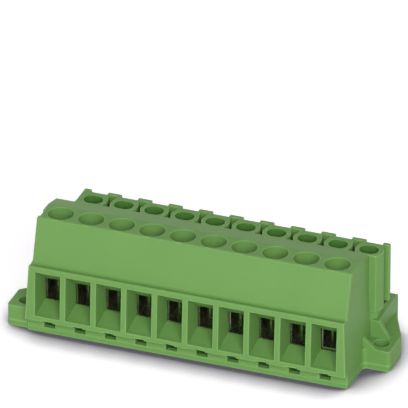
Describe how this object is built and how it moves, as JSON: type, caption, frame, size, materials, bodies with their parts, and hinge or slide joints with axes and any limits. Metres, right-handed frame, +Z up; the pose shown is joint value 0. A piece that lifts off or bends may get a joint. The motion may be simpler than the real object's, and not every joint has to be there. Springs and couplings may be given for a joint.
{
  "type": "pluggable terminal block",
  "caption": "Green base-mounted terminal block: screw clamps with wire entries in front, a plug socket row behind, and a screw ear at each end.",
  "frame": {"origin": "under the middle of the row of clamp screws, at the underside of the base", "axes": "+X along the row of poles, +Y from the wire entries to the socket row, +Z up out of the screw heads"},
  "size_m": [0.0611, 0.0212, 0.0188],
  "materials": {
    "housing_polyamide": "satin moulded polyamide, green",
    "cover_polyamide": "satin moulded polyamide, green",
    "zinc_plated_steel": "bright zinc plating",
    "nickel_plated_steel": "nickel plating",
    "tin_plated_copper": "matte tin plating on copper alloy"
  },
  "bodies": {
    "block": {"housing": "housing_polyamide", "base_cover": "cover_polyamide", "contact_01": "tin_plated_copper", "contact_02": "tin_plated_copper", "contact_03": "tin_plated_copper", "contact_04": "tin_plated_copper", "contact_05": "tin_plated_copper", "contact_06": "tin_plated_copper", "contact_07": "tin_plated_copper", "contact_08": "tin_plated_copper", "contact_09": "tin_plated_copper", "contact_10": "tin_plated_copper"},
    "screw_01": {"clamp_screw_01": "zinc_plated_steel"},
    "sleeve_01": {"clamp_sleeve_01": "nickel_plated_steel"},
    "screw_02": {"clamp_screw_02": "zinc_plated_steel"},
    "sleeve_02": {"clamp_sleeve_02": "nickel_plated_steel"},
    "screw_03": {"clamp_screw_03": "zinc_plated_steel"},
    "sleeve_03": {"clamp_sleeve_03": "nickel_plated_steel"},
    "screw_04": {"clamp_screw_04": "zinc_plated_steel"},
    "sleeve_04": {"clamp_sleeve_04": "nickel_plated_steel"},
    "screw_05": {"clamp_screw_05": "zinc_plated_steel"},
    "sleeve_05": {"clamp_sleeve_05": "nickel_plated_steel"},
    "screw_06": {"clamp_screw_06": "zinc_plated_steel"},
    "sleeve_06": {"clamp_sleeve_06": "nickel_plated_steel"},
    "screw_07": {"clamp_screw_07": "zinc_plated_steel"},
    "sleeve_07": {"clamp_sleeve_07": "nickel_plated_steel"},
    "screw_08": {"clamp_screw_08": "zinc_plated_steel"},
    "sleeve_08": {"clamp_sleeve_08": "nickel_plated_steel"},
    "screw_09": {"clamp_screw_09": "zinc_plated_steel"},
    "sleeve_09": {"clamp_sleeve_09": "nickel_plated_steel"},
    "screw_10": {"clamp_screw_10": "zinc_plated_steel"},
    "sleeve_10": {"clamp_sleeve_10": "nickel_plated_steel"}
  },
  "joints": [
    {"name": "screw_01_turn", "type": "hinge", "parent": "block", "child": "screw_01", "pos_m": [-0.02286, 0, 0.015], "axis": [0, 0, -1], "range_deg": [0, 2304]},
    {"name": "sleeve_01_lift", "type": "slide", "parent": "block", "child": "sleeve_01", "axis": [0, 0, 1], "range_m": [0, 0.0032]},
    {"name": "screw_02_turn", "type": "hinge", "parent": "block", "child": "screw_02", "pos_m": [-0.01778, 0, 0.015], "axis": [0, 0, -1], "range_deg": [0, 2304]},
    {"name": "sleeve_02_lift", "type": "slide", "parent": "block", "child": "sleeve_02", "axis": [0, 0, 1], "range_m": [0, 0.0032]},
    {"name": "screw_03_turn", "type": "hinge", "parent": "block", "child": "screw_03", "pos_m": [-0.0127, 0, 0.015], "axis": [0, 0, -1], "range_deg": [0, 2304]},
    {"name": "sleeve_03_lift", "type": "slide", "parent": "block", "child": "sleeve_03", "axis": [0, 0, 1], "range_m": [0, 0.0032]},
    {"name": "screw_04_turn", "type": "hinge", "parent": "block", "child": "screw_04", "pos_m": [-0.00762, 0, 0.015], "axis": [0, 0, -1], "range_deg": [0, 2304]},
    {"name": "sleeve_04_lift", "type": "slide", "parent": "block", "child": "sleeve_04", "axis": [0, 0, 1], "range_m": [0, 0.0032]},
    {"name": "screw_05_turn", "type": "hinge", "parent": "block", "child": "screw_05", "pos_m": [-0.00254, 0, 0.015], "axis": [0, 0, -1], "range_deg": [0, 2304]},
    {"name": "sleeve_05_lift", "type": "slide", "parent": "block", "child": "sleeve_05", "axis": [0, 0, 1], "range_m": [0, 0.0032]},
    {"name": "screw_06_turn", "type": "hinge", "parent": "block", "child": "screw_06", "pos_m": [0.00254, 0, 0.015], "axis": [0, 0, -1], "range_deg": [0, 2304]},
    {"name": "sleeve_06_lift", "type": "slide", "parent": "block", "child": "sleeve_06", "axis": [0, 0, 1], "range_m": [0, 0.0032]},
    {"name": "screw_07_turn", "type": "hinge", "parent": "block", "child": "screw_07", "pos_m": [0.00762, 0, 0.015], "axis": [0, 0, -1], "range_deg": [0, 2304]},
    {"name": "sleeve_07_lift", "type": "slide", "parent": "block", "child": "sleeve_07", "axis": [0, 0, 1], "range_m": [0, 0.0032]},
    {"name": "screw_08_turn", "type": "hinge", "parent": "block", "child": "screw_08", "pos_m": [0.0127, 0, 0.015], "axis": [0, 0, -1], "range_deg": [0, 2304]},
    {"name": "sleeve_08_lift", "type": "slide", "parent": "block", "child": "sleeve_08", "axis": [0, 0, 1], "range_m": [0, 0.0032]},
    {"name": "screw_09_turn", "type": "hinge", "parent": "block", "child": "screw_09", "pos_m": [0.01778, 0, 0.015], "axis": [0, 0, -1], "range_deg": [0, 2304]},
    {"name": "sleeve_09_lift", "type": "slide", "parent": "block", "child": "sleeve_09", "axis": [0, 0, 1], "range_m": [0, 0.0032]},
    {"name": "screw_10_turn", "type": "hinge", "parent": "block", "child": "screw_10", "pos_m": [0.02286, 0, 0.015], "axis": [0, 0, -1], "range_deg": [-288, 2016]},
    {"name": "sleeve_10_lift", "type": "slide", "parent": "block", "child": "sleeve_10", "axis": [0, 0, 1], "range_m": [-0.0004, 0.0028]}
  ],
  "couplings": [
    {"joint": "screw_01_turn", "follows": "sleeve_01_lift", "rad_per_m": 12566},
    {"joint": "screw_02_turn", "follows": "sleeve_02_lift", "rad_per_m": 12566},
    {"joint": "screw_03_turn", "follows": "sleeve_03_lift", "rad_per_m": 12566},
    {"joint": "screw_04_turn", "follows": "sleeve_04_lift", "rad_per_m": 12566},
    {"joint": "screw_05_turn", "follows": "sleeve_05_lift", "rad_per_m": 12566},
    {"joint": "screw_06_turn", "follows": "sleeve_06_lift", "rad_per_m": 12566},
    {"joint": "screw_07_turn", "follows": "sleeve_07_lift", "rad_per_m": 12566},
    {"joint": "screw_08_turn", "follows": "sleeve_08_lift", "rad_per_m": 12566},
    {"joint": "screw_09_turn", "follows": "sleeve_09_lift", "rad_per_m": 12566},
    {"joint": "screw_10_turn", "follows": "sleeve_10_lift", "rad_per_m": 12566}
  ]
}
